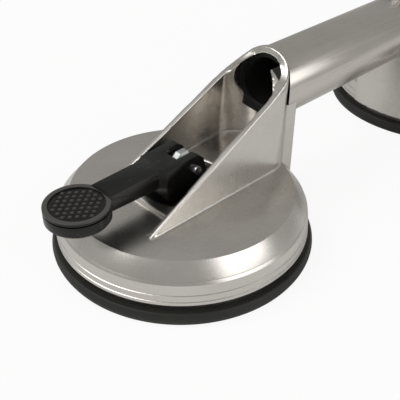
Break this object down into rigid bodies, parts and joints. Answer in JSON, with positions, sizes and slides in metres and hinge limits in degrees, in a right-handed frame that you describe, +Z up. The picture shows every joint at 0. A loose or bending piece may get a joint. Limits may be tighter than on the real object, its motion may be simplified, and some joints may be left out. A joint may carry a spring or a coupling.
{
  "type": "vacuum suction cup lifter",
  "caption": "Two-head vacuum suction lifter: cast aluminium heads with rubber suction discs and cam levers, joined by a tube handle.",
  "frame": {"origin": "on the glass plane, midway between the two suction heads, under the handle", "axes": "+X along the handle from the front head to the rear head, +Z up away from the glass"},
  "size_m": [0.345, 0.12, 0.0771],
  "materials": {
    "cast_aluminium": "satin die-cast aluminium with a turned band",
    "brushed_aluminium": "brushed",
    "black_rubber": "matte moulded rubber",
    "lever_plastic": "satin moulded plastic with a knurled thumb pad",
    "slide_plastic": "smooth",
    "bush_plastic": "plain acetal",
    "zinc_plated_steel": "zinc plated",
    "bright_steel": "ground bright",
    "plated_steel": "plated"
  },
  "bodies": {
    "frame": {"handle_tube": "brushed_aluminium", "front_head": "cast_aluminium", "front_suction_disc": "black_rubber", "front_release_spring": "plated_steel", "front_guide_bush": "bush_plastic", "front_steel_washer": "bright_steel", "front_slide_washer": "slide_plastic", "rear_head": "cast_aluminium", "rear_suction_disc": "black_rubber", "rear_release_spring": "plated_steel", "rear_guide_bush": "bush_plastic", "rear_steel_washer": "bright_steel", "rear_slide_washer": "slide_plastic"},
    "front_stud": {"front_pull_plate": "plated_steel", "front_pull_stud": "zinc_plated_steel", "front_stud_nut": "zinc_plated_steel", "front_hinge_pin": "bright_steel"},
    "front_lever_arm": {"front_lever": "lever_plastic"},
    "rear_stud": {"rear_pull_plate": "plated_steel", "rear_pull_stud": "zinc_plated_steel", "rear_stud_nut": "zinc_plated_steel", "rear_hinge_pin": "bright_steel"},
    "rear_lever_arm": {"rear_lever": "lever_plastic"}
  },
  "joints": [
    {"name": "front_stud_slide", "type": "slide", "parent": "frame", "child": "front_stud", "axis": [0, 0, 1], "range_m": [-0.0057, 0], "deforming": ["front_release_spring", "front_suction_disc"]},
    {"name": "front_lever_hinge", "type": "hinge", "parent": "front_stud", "child": "front_lever_arm", "pos_m": [-0.10375, 0, 0.0406], "axis": [0, 1, 0], "range_deg": [0, 90]},
    {"name": "rear_stud_slide", "type": "slide", "parent": "frame", "child": "rear_stud", "axis": [0, 0, 1], "range_m": [-0.0057, 0], "deforming": ["rear_release_spring", "rear_suction_disc"]},
    {"name": "rear_lever_hinge", "type": "hinge", "parent": "rear_stud", "child": "rear_lever_arm", "pos_m": [0.10375, 0, 0.0406], "axis": [0, -1, 0], "range_deg": [0, 90]}
  ],
  "couplings": [
    {"joint": "front_stud_slide", "follows": "front_lever_hinge", "m_per_rad": -0.003628},
    {"joint": "rear_stud_slide", "follows": "rear_lever_hinge", "m_per_rad": -0.003628}
  ]
}
